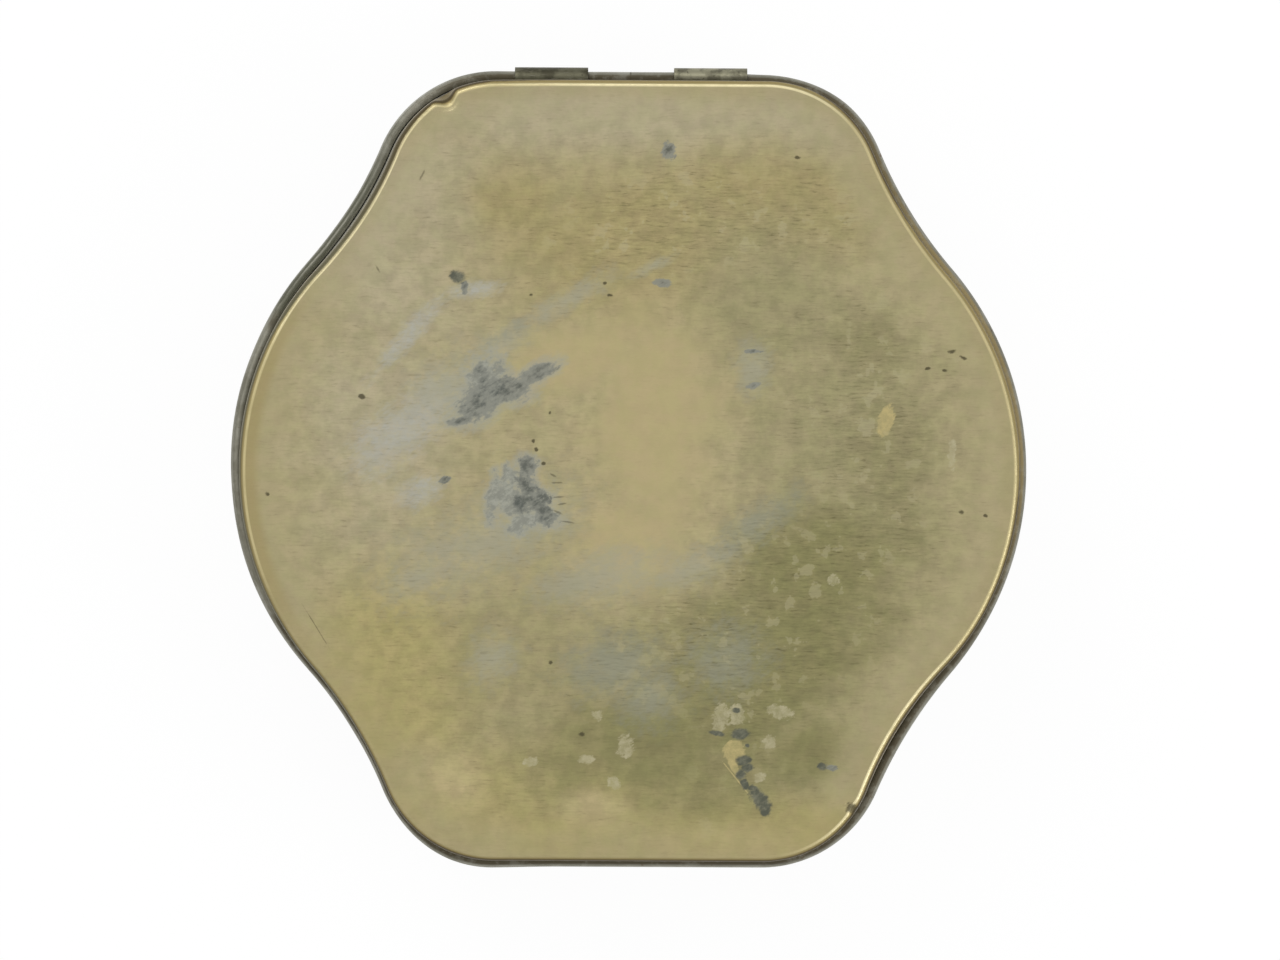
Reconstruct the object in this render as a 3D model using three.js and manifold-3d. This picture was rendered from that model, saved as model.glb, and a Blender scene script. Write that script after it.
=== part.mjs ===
// A shaped tin box with a hinged lid, built up from tinplate sheet.
// Millimetres, +Z up. The origin is under the middle of the tin, on the surface that it stands on.
// The lid's two hinges are at the rear, on the +Y side, and the tin opens at the front.

import * as THREE from 'three';
import { mergeVertices } from 'three/addons/utils/BufferGeometryUtils.js';
import Module from 'manifold-3d';

const wasm = await Module();
wasm.setup();

// Outline of the walls seen from above, on the outer face of the sheet
const wallWidth = 146;
const wallDepth = 146;
const straightLength = 50.6; // of the straight front and rear
const cornerRadius = 21.4;
const waistRadius = 85; // of the hollow stretch between a corner and a side
const sideRadius = 56.4;

// Sheet metal and the folded seams that hold the two plates
const sheet = 0.4;
const seamGap = 0.1; // between two sheets that are folded together
const foldRadius = 0.3; // inside radius of a wall's edge, turned in under its plate
const flangeReach = 1.6; // of that turned edge, past its bend
const seamLap = 1.8; // straight part of a plate's edge, turned along the wall

// Heights
const bodyHeight = 27; // from the foot to the top edge of the body's wall
const lidHeight = 13.5; // from the lid's rolled edge to its top
const lidGap = 0.3; // between the rolled edge and the wall below it
const collarRise = 6; // of the collar above the body's wall

// Wire rolled into the lid's lower edge, which is also the hinge's pin
const wireDiameter = 1.4;
const wireGap = 0.1;
const curlMouth = 0.5; // from the wall to the free end of the rolled edge

// Hinge straps, riveted to the body and looped round the rolled edge
const strapWidth = 13.8;
const strapInset = 3.4; // from the end of the straight rear to the strap
const strapSheet = 0.5;
const strapDrop = 11; // below the hinge axis
const loopGap = 0.3; // between the loop and the rolled edge inside it
const loopMouth = 0.4; // from the strap to the free end of its loop
const slotGap = 0.35; // round a strap, where it passes through a wall

// Rivets, two to a strap
const rivetInset = 3.1; // from a strap's edge to the rivet's middle
const rivetRise = 3.4; // above the strap's lower end
const shankDiameter = 1.6;
const headDiameter = 3.2;
const headHeight = 0.6;
const rivetGap = 0.1;

// Collar inside the body's wall
const collarFoot = 4; // height of the stretch that lies against the wall
const collarStep = 1.6; // height over which it steps inwards
const collarStart = 0.6; // from the strap's lower end down to that step

// Facets
const cornerSteps = 6;
const waistSteps = 3;
const sideSteps = 5;
const foldSteps = 2;
const curlSteps = 8;
const loopSteps = 8;
const roundSides = 10;
const wireSides = 8;

// What follows from the sizes
const halfTurn = Math.PI;
const quarterTurn = Math.PI / 2;
const lidBottom = bodyHeight + lidGap;
const lidTop = lidBottom + lidHeight;
const curlInside = wireDiameter / 2 + wireGap;
const curlOutside = curlInside + sheet;
const pinOffset = curlInside; // the wall's outer face runs on into the inside of the curl
const pinHeight = lidBottom + curlOutside;
const loopInside = curlOutside + loopGap;
const loopOutside = loopInside + strapSheet;
const curlEnd = 2 * halfTurn + Math.acos((curlMouth - pinOffset) / curlOutside);
const loopEnd = -Math.acos((loopMouth - loopInside) / loopOutside);
const strapFoot = pinHeight - strapDrop;
const strapCentre = straightLength / 2 - strapInset - strapWidth / 2;
const slotWidth = strapWidth + 2 * slotGap;
const wallFold = foldRadius + sheet; // outside radius of a wall's turned edge
const plateInside = wallFold + seamGap;
const plateFold = plateInside + sheet; // outside radius of a plate's turned edge
const foldOffset = -wallFold; // centre of both folds, from the wall's outer face
const lapHeight = plateFold + seamLap;
const rearWall = wallDepth / 2;
const collarOutside = pinOffset - loopOutside - seamGap; // outer face, inside the straps
const rivetGrip = sheet - collarOutside; // from the wall's outer face to the collar's inner face

// Centres and angles of the tangent arcs in one quarter of the outline
const cornerCentre = new THREE.Vector2(straightLength / 2, wallDepth / 2 - cornerRadius);
const sideCentre = new THREE.Vector2(wallWidth / 2 - sideRadius, 0);
const toCorner = cornerRadius + waistRadius;
const toSide = sideRadius + waistRadius;
const apart = cornerCentre.distanceTo(sideCentre);
const along = (toSide ** 2 - toCorner ** 2 + apart ** 2) / (2 * apart);
const aside = Math.sqrt(toSide ** 2 - along ** 2);
const towards = cornerCentre.clone().sub(sideCentre).normalize();
const waistCentre = new THREE.Vector2(towards.y, -towards.x).multiplyScalar(aside);
waistCentre.addScaledVector(towards, along).add(sideCentre);
const sideEnd = waistCentre.clone().sub(sideCentre).angle();
const cornerEnd = waistCentre.clone().sub(cornerCentre).angle();

// Points of a quarter outline, from the middle of the side to the straight rear
function quarterOutline(offset) {
  const side = new THREE.ArcCurve(sideCentre.x, sideCentre.y, sideRadius + offset, 0, sideEnd);
  const waist = new THREE.ArcCurve(
    waistCentre.x, waistCentre.y, waistRadius - offset, sideEnd + halfTurn, cornerEnd + halfTurn, true,
  );
  const corner = new THREE.ArcCurve(
    cornerCentre.x, cornerCentre.y, cornerRadius + offset, cornerEnd, quarterTurn,
  );
  return [
    ...side.getPoints(sideSteps).slice(0, -1),
    ...waist.getPoints(waistSteps).slice(0, -1),
    ...corner.getPoints(cornerSteps),
  ];
}

// The closed outline, counter-clockwise, at a distance outside the wall's outer face
function outline(offset) {
  const rearRight = quarterOutline(offset);
  const rearLeft = rearRight.map((p) => new THREE.Vector2(-p.x, p.y)).reverse();
  const frontLeft = rearRight.slice(1).map((p) => new THREE.Vector2(-p.x, -p.y));
  const frontRight = rearRight.slice(1).map((p) => new THREE.Vector2(p.x, -p.y)).reverse();
  return [...rearRight, ...rearLeft, ...frontLeft, ...frontRight];
}

// A section, given as counter-clockwise points (offset, height), carried round the outline.
// A band's section closes on itself, and a plate's first and last rings are filled in.
function carryRound(section, isPlate) {
  const loops = section.map((point) => outline(point.x));
  const count = loops[0].length;
  const positions = loops.flatMap((loop, ring) => loop.flatMap((p) => [p.x, p.y, section[ring].y]));
  const triangles = [];
  const lastRing = isPlate ? section.length - 1 : section.length;
  for (let ring = 0; ring < lastRing; ring += 1) {
    const here = ring * count;
    const next = ((ring + 1) % section.length) * count;
    for (let i = 0; i < count; i += 1) {
      const j = (i + 1) % count;
      triangles.push(here + i, here + j, next + j, here + i, next + j, next + i);
    }
  }
  if (isPlate) {
    const top = (section.length - 1) * count;
    for (const [a, b, c] of THREE.ShapeUtils.triangulateShape(loops[0], [])) {
      triangles.push(c, b, a);
    }
    for (const [a, b, c] of THREE.ShapeUtils.triangulateShape(loops[section.length - 1], [])) {
      triangles.push(top + a, top + b, top + c);
    }
  }
  const geometry = new THREE.BufferGeometry();
  geometry.setAttribute('position', new THREE.Float32BufferAttribute(positions, 3));
  geometry.setIndex(triangles);
  return geometry;
}

// Points of an arc in a section
function bend(offset, height, radius, from, to, steps) {
  return new THREE.ArcCurve(offset, height, radius, from, to, to < from).getPoints(steps);
}

function at(offset, height) {
  return new THREE.Vector2(offset, height);
}

// Cut tools out of a piece
function toSolid(geometry) {
  const bare = geometry.clone();
  bare.deleteAttribute('normal');
  bare.deleteAttribute('uv');
  const merged = mergeVertices(bare);
  return new wasm.Manifold(new wasm.Mesh({
    numProp: 3,
    vertProperties: new Float32Array(merged.attributes.position.array),
    triVerts: new Uint32Array(merged.index.array),
  }));
}

function cut(geometry, tools) {
  const left = tools.reduce((solid, tool) => solid.subtract(toSolid(tool)), toSolid(geometry));
  const mesh = left.getMesh();
  const result = new THREE.BufferGeometry();
  result.setAttribute('position', new THREE.BufferAttribute(mesh.vertProperties, 3));
  result.setIndex(new THREE.BufferAttribute(mesh.triVerts, 1));
  return result;
}

// Middle of each strap, and of each rivet in it, along the straight rear
const strapPlaces = { left: -strapCentre, right: strapCentre };
const rivetPlaces = { outer: strapWidth / 2 - rivetInset, inner: rivetInset - strapWidth / 2 };
const rivetHeight = strapFoot + rivetRise;

function rivetX(strapX, fromMiddle) {
  return strapX + Math.sign(strapX) * fromMiddle;
}

// A hole for each rivet's shank, through the wall, the straps and the collar
function rivetHoles() {
  const holes = [];
  const length = 4 * rivetGrip;
  const radius = shankDiameter / 2 + rivetGap;
  for (const strapX of Object.values(strapPlaces)) {
    for (const fromMiddle of Object.values(rivetPlaces)) {
      const hole = new THREE.CylinderGeometry(radius, radius, length, roundSides);
      hole.translate(rivetX(strapX, fromMiddle), rearWall, rivetHeight);
      holes.push(hole);
    }
  }
  return holes;
}

// A window for each strap, through the rear wall between two heights
function strapWindows(from, to) {
  return Object.values(strapPlaces).map((strapX) => {
    const window = new THREE.BoxGeometry(slotWidth, 2 * sheet, to - from);
    window.translate(strapX, rearWall - sheet / 2, (from + to) / 2);
    return window;
  });
}

// Flat plate with its edge turned down over the lid's wall
function lidPlate() {
  const foldHeight = lidTop - plateFold;
  return carryRound([
    ...bend(foldOffset, foldHeight, plateInside, quarterTurn, 0, foldSteps),
    at(foldOffset + plateInside, lidTop - lapHeight),
    at(foldOffset + plateFold, lidTop - lapHeight),
    ...bend(foldOffset, foldHeight, plateFold, 0, quarterTurn, foldSteps + 1),
  ], true);
}

// The lid's wall: its upper edge turned in under the plate, its lower edge rolled over the wire
function lidBand() {
  const foldHeight = lidTop - plateFold;
  const band = carryRound([
    at(foldOffset - flangeReach, foldHeight + foldRadius),
    ...bend(foldOffset, foldHeight, foldRadius, quarterTurn, 0, foldSteps),
    ...bend(pinOffset, pinHeight, curlOutside, halfTurn, curlEnd, curlSteps),
    ...bend(pinOffset, pinHeight, curlInside, curlEnd, halfTurn, curlSteps),
    ...bend(foldOffset, foldHeight, wallFold, 0, quarterTurn, foldSteps),
    at(foldOffset - flangeReach, foldHeight + wallFold),
  ], false);
  return cut(band, strapWindows(pinHeight, pinHeight + loopOutside + slotGap));
}

// Wire in the rolled edge, bent to the outline and closed at its ends
function rimWire() {
  const radius = wireDiameter / 2;
  const round = bend(pinOffset, pinHeight, radius, 0, 2 * halfTurn, wireSides);
  return carryRound(round.slice(0, -1), false);
}

// Flat plate with its edge turned up over the body's wall
function basePlate() {
  return carryRound([
    ...bend(foldOffset, plateFold, plateFold, -quarterTurn, 0, foldSteps + 1),
    at(foldOffset + plateFold, lapHeight),
    at(foldOffset + plateInside, lapHeight),
    ...bend(foldOffset, plateFold, plateInside, 0, -quarterTurn, foldSteps),
  ], true);
}

// The body's wall: its lower edge turned in over the base, its upper edge open
function bodyBand() {
  const band = carryRound([
    at(foldOffset - flangeReach, plateFold - wallFold),
    ...bend(foldOffset, plateFold, wallFold, -quarterTurn, 0, foldSteps),
    at(0, bodyHeight),
    at(-sheet, bodyHeight),
    ...bend(foldOffset, plateFold, foldRadius, 0, -quarterTurn, foldSteps),
    at(foldOffset - flangeReach, plateFold - foldRadius),
  ], false);
  const notches = strapWindows(pinHeight - loopOutside - slotGap, pinHeight);
  return cut(band, [...notches, ...rivetHoles()]);
}

// Collar that the lid closes over, stepped inwards to leave room for the lid and the straps
function innerCollar() {
  const footOutside = -sheet - seamGap;
  const stepTop = strapFoot - collarStart;
  const stepBottom = stepTop - collarStep;
  const foot = stepBottom - collarFoot;
  const top = bodyHeight + collarRise;
  const collar = carryRound([
    at(footOutside, foot),
    at(footOutside, stepBottom),
    at(collarOutside, stepTop),
    at(collarOutside, top),
    at(collarOutside - sheet, top),
    at(collarOutside - sheet, stepTop),
    at(footOutside - sheet, stepBottom),
    at(footOutside - sheet, foot),
  ], false);
  return cut(collar, rivetHoles());
}

// Strap that stands inside the rear wall and loops over the rolled edge from inside to outside
function hingeStrap(strapX) {
  const section = new THREE.Shape();
  section.moveTo(pinOffset - loopInside, strapFoot);
  section.lineTo(pinOffset - loopInside, pinHeight);
  section.absarc(pinOffset, pinHeight, loopInside, halfTurn, loopEnd, true);
  section.absarc(pinOffset, pinHeight, loopOutside, loopEnd, halfTurn, false);
  section.lineTo(pinOffset - loopOutside, strapFoot);
  const strap = new THREE.ExtrudeGeometry(section, {
    depth: strapWidth, bevelEnabled: false, curveSegments: loopSteps,
  });
  const acrossRear = new THREE.Matrix4().makeBasis(
    new THREE.Vector3(0, 1, 0), new THREE.Vector3(0, 0, 1), new THREE.Vector3(1, 0, 0),
  );
  strap.applyMatrix4(acrossRear);
  strap.translate(strapX - strapWidth / 2, rearWall, 0);
  return cut(strap, rivetHoles());
}

// Rivet with its round head outside the wall and its flattened tail inside the collar
function hingeRivet() {
  const tailFace = -rivetGrip - rivetGap;
  const headFace = rivetGap;
  const rim = headDiameter / 2;
  const shank = shankDiameter / 2;
  const crown = rim - headHeight;
  return new THREE.LatheGeometry([
    at(0, tailFace - headHeight),
    at(rim, tailFace - headHeight),
    at(rim, tailFace),
    at(shank, tailFace),
    at(shank, headFace),
    at(rim, headFace),
    at(crown, headFace + headHeight),
    at(0, headFace + headHeight),
  ], roundSides);
}

// Finishes
const goldLacquer = { color: 0xa89c72, roughness: 0.45, metalness: 0.85 };
const bareTin = { color: 0x8d8c80, roughness: 0.4, metalness: 0.9 };
const hingeTin = { color: 0x6f6c5c, roughness: 0.5, metalness: 0.9 };
const drawnWire = { color: 0x77766e, roughness: 0.5, metalness: 0.9 };

const tin = new THREE.Group();

function addPiece(name, geometry, finish) {
  const piece = new THREE.Mesh(geometry, new THREE.MeshStandardMaterial(finish));
  piece.name = name;
  tin.add(piece);
  return piece;
}

addPiece('lid_plate', lidPlate(), goldLacquer);
addPiece('lid_band', lidBand(), bareTin);
addPiece('lid_rim_wire', rimWire(), drawnWire);
addPiece('base_plate', basePlate(), goldLacquer);
addPiece('body_band', bodyBand(), bareTin);
addPiece('inner_collar', innerCollar(), bareTin);
for (const [side, strapX] of Object.entries(strapPlaces)) {
  addPiece(`hinge_strap_${side}`, hingeStrap(strapX), hingeTin);
  for (const [place, fromMiddle] of Object.entries(rivetPlaces)) {
    const rivet = addPiece(`hinge_rivet_${side}_${place}`, hingeRivet(), hingeTin);
    rivet.position.set(rivetX(strapX, fromMiddle), rearWall, rivetHeight);
  }
}

export default tin;
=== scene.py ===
import math

import bmesh
import bpy
from mathutils import Matrix, Vector, geometry, noise


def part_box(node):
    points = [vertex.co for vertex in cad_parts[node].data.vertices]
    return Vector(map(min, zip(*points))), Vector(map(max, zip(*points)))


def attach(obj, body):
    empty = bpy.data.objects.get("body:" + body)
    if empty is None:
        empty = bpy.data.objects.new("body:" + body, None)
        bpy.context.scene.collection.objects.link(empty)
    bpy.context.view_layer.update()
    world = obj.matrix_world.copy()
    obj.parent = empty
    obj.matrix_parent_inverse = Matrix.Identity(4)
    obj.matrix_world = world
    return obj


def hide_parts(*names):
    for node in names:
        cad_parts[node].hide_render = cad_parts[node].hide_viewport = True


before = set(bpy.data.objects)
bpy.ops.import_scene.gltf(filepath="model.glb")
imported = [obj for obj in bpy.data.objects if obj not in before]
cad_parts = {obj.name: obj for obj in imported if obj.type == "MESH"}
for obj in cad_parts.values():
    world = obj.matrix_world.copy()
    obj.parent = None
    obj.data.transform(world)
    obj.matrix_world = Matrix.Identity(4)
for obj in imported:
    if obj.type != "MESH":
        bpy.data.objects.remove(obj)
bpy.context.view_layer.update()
scene = bpy.context.scene
scene.view_settings.view_transform = "Standard"
mm = 0.001
joinDistance = 0.001 * mm      # points closer than this are one


# Plan of the tin at the outer face of its walls. A quarter is half a straight, a corner,
# a hollow waist and half a side, each meeting the next smoothly.
plan = {
    "width": 146 * mm,
    "depth": 146 * mm,
    "straight": 50.6 * mm,
    "cornerRadius": 21.4 * mm,
    "waistRadius": 85 * mm,
    "sideRadius": 56.4 * mm,
    "straightSteps": 18,
    "cornerSteps": 46,
    "waistSteps": 20,
    "sideSteps": 30,
}
rearWall = plan["depth"] / 2
cornerCentre = Vector((plan["straight"] / 2, rearWall - plan["cornerRadius"]))
sideCentre = Vector((plan["width"] / 2 - plan["sideRadius"], 0))
crossings = geometry.intersect_sphere_sphere_2d(
    cornerCentre, plan["cornerRadius"] + plan["waistRadius"],
    sideCentre, plan["sideRadius"] + plan["waistRadius"])
waistCentre = max(crossings, key=sum)
cornerEnd = math.atan2(*(waistCentre - cornerCentre).yx)
sideEnd = math.atan2(*(waistCentre - sideCentre).yx)

# Sheet that the plates and bands are folded from
sheet = {
    "thickness": 0.4 * mm,
    "gap": 0.1 * mm,          # between two sheets in a seam
    "foldRadius": 0.3 * mm,   # inside a wall's fold
    "flange": 1.6 * mm,       # wall turned in under a plate
    "lap": 1.8 * mm,          # plate turned over a wall
    "flangeSteps": 3,
    "cutEdge": 0.05 * mm,     # rounding of a cut edge
    "cutSegments": 2,
    "cutAngle": 55,           # degrees, above which an edge is a cut one
}
wallFold = sheet["foldRadius"] + sheet["thickness"]
plateFold = wallFold + sheet["gap"] + sheet["thickness"]
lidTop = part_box("lid_plate")[1].z
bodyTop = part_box("body_band")[1].z

# Rolled edge of the lid, which is also the hinge's pin
roll = {
    "wire": 1.4 * mm,
    "gap": 0.1 * mm,
    "mouth": 0.12 * mm,       # from the wall to the roll's free edge
    "turnSteps": 28,
    "wireSides": 14,
}
rollInside = roll["wire"] / 2 + roll["gap"]
rollOutside = rollInside + sheet["thickness"]
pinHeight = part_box("lid_band")[0].z + rollOutside
rollTurn = 180 + math.degrees(math.acos((roll["mouth"] - rollInside) / rollOutside))


def startLine(outset, height):
    # first point of a section, drawn at the middle of the rear
    bm = bmesh.new()
    bm.verts.layers.float.new("across")
    bm.verts.new((0, rearWall + outset, height))
    return bm


def lineEnd(bm):
    bm.verts.ensure_lookup_table()
    return bm.verts[-1]


def runTo(bm, outset, height, steps=1):
    last = lineEnd(bm)
    stride = (Vector((0, rearWall + outset, height)) - last.co) / steps
    bmesh.ops.spin(bm, geom=[last], cent=(0, 0, 0), axis=(1, 0, 0), dvec=stride, angle=0, steps=steps)


def turnAbout(bm, outset, height, degrees, steps):
    centre = (0, rearWall + outset, height)
    bmesh.ops.spin(bm, geom=[lineEnd(bm)], cent=centre, axis=(1, 0, 0), angle=math.radians(degrees),
                   steps=steps)


def measureLine(bm, start=0):
    # distance along the section in millimetres, zero at the point numbered start
    across = bm.verts.layers.float["across"]
    points = list(bm.verts)
    for before, after in zip(points, points[1:]):
        after[across] = before[across] + (after.co - before.co).length / mm
    zero = points[start][across]
    for point in points:
        point[across] -= zero


def carryRound(bm):
    # takes the section along one quarter of the plan, then mirrors it into the whole
    stride = Vector((plan["straight"] / 2 / plan["straightSteps"], 0, 0))
    rim = bm.verts[:] + bm.edges[:]
    rim = bmesh.ops.spin(bm, geom=rim, cent=(0, 0, 0), axis=(0, 0, 1), dvec=stride, angle=0,
                         steps=plan["straightSteps"])["geom_last"]
    bends = (
        (cornerCentre, cornerEnd - math.pi / 2, plan["cornerSteps"]),
        (waistCentre, sideEnd - cornerEnd, plan["waistSteps"]),
        (sideCentre, -sideEnd, plan["sideSteps"]),
    )
    for centre, angle, steps in bends:
        rim = bmesh.ops.spin(bm, geom=rim, cent=centre.to_3d(), axis=(0, 0, 1), angle=angle,
                             steps=steps)["geom_last"]
    for axis in "XY":
        bmesh.ops.mirror(bm, geom=bm.verts[:] + bm.edges[:] + bm.faces[:], axis=axis, merge_dist=joinDistance)
    bmesh.ops.remove_doubles(bm, verts=bm.verts, dist=joinDistance)


def faceOutwards(bm, spot, direction):
    # all faces alike, with the one nearest to spot looking along direction
    bmesh.ops.recalc_face_normals(bm, faces=bm.faces)
    nearest = min(bm.faces, key=lambda face: (face.calc_center_median() - Vector(spot)).length)
    if nearest.normal.dot(Vector(direction)) < 0:
        bmesh.ops.reverse_faces(bm, faces=bm.faces)


def facesWithin(bm, low, high):
    return [face for face in bm.faces
            if all(a < c < b for a, c, b in zip(low, face.calc_center_median(), high))]


def cutAcross(bm, faces, spot, normal):
    edges = {edge for face in faces for edge in face.edges}
    verts = {vert for face in faces for vert in face.verts}
    bmesh.ops.bisect_plane(bm, geom=faces + list(edges) + list(verts), dist=joinDistance,
                           plane_co=spot, plane_no=normal)


def cutOpening(bm, low, high, reach=4 * mm):
    # cuts the sheet along the sides of a box and takes out what lies inside
    margin = Vector((reach, reach, reach))
    for axis in (0, 2):
        for corner in (low, high):
            cutAcross(bm, facesWithin(bm, low - margin, high + margin), corner, (axis == 0, 0, axis == 2))
    bmesh.ops.delete(bm, geom=facesWithin(bm, low, high), context="FACES")


# Soldered lap of a band's ends, in the middle of the rear: the left end lies on the right one
lap = {
    "proud": 0.15 * mm,
    "step": 0.15 * mm,         # width of the cut edge
    "reach": 6 * mm,           # how far to the left it stands proud
    "fade": 3 * mm,
    "clear": 0.2 * mm,         # kept free beside a seam or the roll
    "ramp": 1 * mm,            # height over which it rises
    "depth": 1 * mm,           # what lies further in stays where it is
    "cutDepth": 2 * mm,
}


def raiseLap(bm, *spans):
    # each span is a lowest and a highest point between which the lap stands proud
    reach = Vector((lap["reach"], lap["cutDepth"], 0))
    middle = Vector((0, rearWall, 0))
    rear = facesWithin(bm, middle - reach, middle + reach + Vector((0, 0, bodyTop + lidTop)))
    cutAcross(bm, rear, (-lap["step"], 0, 0), (1, 0, 0))
    for vert in bm.verts:
        if vert.co.y < rearWall - lap["depth"] or not -lap["reach"] < vert.co.x < -lap["step"] / 2:
            continue
        along = min(1, (vert.co.x + lap["reach"]) / lap["fade"])
        inside = max(min(vert.co.z - low, high - vert.co.z) for low, high in spans)
        upright = min(1, max(0, inside - lap["clear"]) / lap["ramp"])
        vert.co.y += lap["proud"] * along * upright


def outwardAt(x, y):
    # direction square to the plan's edge beside a point
    spot = Vector((abs(x), abs(y)))
    fromSide = spot - sideCentre
    fromCorner = spot - cornerCentre
    if math.atan2(fromSide.y, fromSide.x) < sideEnd:
        way = fromSide
    elif math.atan2(fromCorner.y, fromCorner.x) < cornerEnd:
        way = waistCentre - spot
    elif spot.x > cornerCentre.x:
        way = fromCorner
    else:
        way = Vector((0, 1))
    way = way.normalized()
    return Vector((math.copysign(way.x, x), math.copysign(way.y, y), 0))


# What years of use did to the lid: the skirt leans out at one corner and is pressed in at
# another, and the plate's edge is dented. Places and moves in millimetres.
knocks = {
    "skirt": (
        {"at": (-50, 54), "reach": 42, "top": -0.75, "roll": 0.2},
        {"at": (-62, 38), "reach": 20, "top": 0.25, "roll": 0.35},
        {"at": (-73, 17), "reach": 24, "top": 0.0, "roll": 0.34},
        {"at": (50, -51), "reach": 30, "top": -0.78, "roll": 0.2},
        {"at": (-53, -50), "reach": 40, "top": 0.0, "roll": -0.6},
        {"at": (-46, -64), "reach": 18, "top": 0.0, "roll": -0.25},
        {"at": (-31, -74), "reach": 18, "top": 0.0, "roll": 0.3},
        {"at": (28.5, 74), "reach": 15, "top": 0.0, "roll": -0.45},
    ),
    "edge": (
        {"at": (-35.1, 70.2), "reach": 2.8, "inwards": 1.5, "down": 0.3},
        {"at": (42.3, -63.4), "reach": 1.6, "inwards": 0.35, "down": 0.2},
    ),
    "edgeDepth": 4,            # how far down the skirt an edge knock is felt
    "panelReach": 14,          # how far into the panel a lean is felt
}


def fallOff(distance, reach):
    return max(0, 1 - (distance / reach) ** 2) ** 2


def knockLid(bm):
    across = bm.verts.layers.float["across"]
    for vert in bm.verts:
        spot = vert.co.xy / mm
        outward = outwardAt(*vert.co.xy)
        depth = min(1, max(0, (lidTop - vert.co.z) / (lidTop - pinHeight)))
        felt = max(0, 1 + min(0, vert[across]) / knocks["panelReach"])
        move = Vector()
        for knock in knocks["skirt"]:
            share = fallOff((spot - Vector(knock["at"])).length, knock["reach"])
            move += outward * (knock["top"] + (knock["roll"] - knock["top"]) * depth) * share * felt
        for knock in knocks["edge"]:
            share = fallOff((spot - Vector(knock["at"])).length, knock["reach"])
            share *= fallOff((lidTop - vert.co.z) / mm, knocks["edgeDepth"])
            move -= outward * knock["inwards"] * share
            move.z -= knock["down"] * share
        vert.co += move * mm


def addPiece(name, bm, body, nodes, materials, wall=None, inside=0):
    for face in bm.faces:
        face.smooth = True
    mesh = bpy.data.meshes.new(name)
    bm.to_mesh(mesh)
    bm.free()
    for material in materials:
        mesh.materials.append(material)
    piece = bpy.data.objects.new(name, mesh)
    scene.collection.objects.link(piece)
    if wall:
        thicken = piece.modifiers.new("sheet", "SOLIDIFY")
        thicken.thickness = wall
        thicken.offset = -1
        thicken.use_even_offset = True
        thicken.material_offset = inside
        rounding = piece.modifiers.new("cutEdges", "BEVEL")
        rounding.width = sheet["cutEdge"]
        rounding.segments = sheet["cutSegments"]
        rounding.limit_method = "ANGLE"
        rounding.angle_limit = math.radians(sheet["cutAngle"])
    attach(piece, body)
    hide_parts(*nodes)
    print("piece:", name, len(mesh.polygons), "faces before its wall")
    return piece


# Node helpers: values may be sockets, which are linked, or constants, which are set
def feed(tree, socket, value):
    if isinstance(value, bpy.types.NodeSocket):
        tree.links.new(value, socket)
    else:
        socket.default_value = value


def put(tree, kind, inputs=None, **settings):
    made = tree.nodes.new("ShaderNode" + kind)
    for key, value in settings.items():
        setattr(made, key, value)
    for key, value in (inputs or {}).items():
        feed(tree, made.inputs[key], value)
    return made


def calc(tree, operation, first, second=0.0, clamp=False):
    return put(tree, "Math", {0: first, 1: second}, operation=operation, use_clamp=clamp).outputs[0]


def plus(tree, first, second):
    return calc(tree, "ADD", first, second)


def minus(tree, first, second, clamp=False):
    return calc(tree, "SUBTRACT", first, second, clamp)


def times(tree, first, second, clamp=False):
    return calc(tree, "MULTIPLY", first, second, clamp)


def lesser(tree, first, second):
    return calc(tree, "MINIMUM", first, second)


def greater(tree, first, second):
    return calc(tree, "MAXIMUM", first, second)


def vectorCalc(tree, operation, first, second):
    return put(tree, "VectorMath", {0: first, 1: second}, operation=operation).outputs[0]


def mixTone(tree, share, first, second, blend="MIX"):
    made = put(tree, "Mix", {0: share, 6: first, 7: second}, data_type="RGBA", blend_type=blend)
    return made.outputs[2]


def layer(tree, colour, mask, share, shade):
    # lays another tone over a colour, where a mask says and never more than share
    return mixTone(tree, times(tree, mask, share), colour, shade)


def spread(tree, value, low, high, start=0.0, end=1.0):
    # start below low, end above high, and a smooth rise between
    inputs = {"Value": value, "From Min": low, "From Max": high, "To Min": start, "To Max": end}
    return put(tree, "MapRange", inputs, interpolation_type="SMOOTHSTEP").outputs["Result"]


def band(tree, value, low, high, soft):
    # one between low and high, fading over soft outside
    rise = spread(tree, value, low - soft, low)
    fall = spread(tree, value, high, high + soft, 1.0, 0.0)
    return times(tree, rise, fall)


def grainNoise(tree, vector, scale, detail=2.0, roughness=0.5):
    inputs = {"Vector": vector, "Scale": scale, "Detail": detail, "Roughness": roughness}
    return put(tree, "TexNoise", inputs).outputs["Fac"]


def swing(tree, vector, scale, detail, roughness=0.5):
    # a noise centred on zero
    return minus(tree, grainNoise(tree, vector, scale, detail, roughness), 0.5)


def tone(red, green, blue):
    # a colour as seen on screen, from 0 to 255, turned into the linear value that shaders use
    shares = (red / 255, green / 255, blue / 255)
    linear = [s / 12.92 if s <= 0.04045 else ((s + 0.055) / 1.055) ** 2.4 for s in shares]
    return (*linear, 1.0)


def newGroup(name, inputs, outputs):
    tree = bpy.data.node_groups.new(name, "ShaderNodeTree")
    for label, kind in inputs:
        tree.interface.new_socket(label, in_out="INPUT", socket_type="NodeSocket" + kind)
    for label, kind in outputs:
        tree.interface.new_socket(label, in_out="OUTPUT", socket_type="NodeSocket" + kind)
    enter = tree.nodes.new("NodeGroupInput").outputs
    leave = tree.nodes.new("NodeGroupOutput").inputs
    return tree, enter, leave


def useGroup(tree, group, inputs):
    made = tree.nodes.new("ShaderNodeGroup")
    made.node_tree = group
    for key, value in inputs.items():
        feed(tree, made.inputs[key], value)
    return made.outputs


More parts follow.
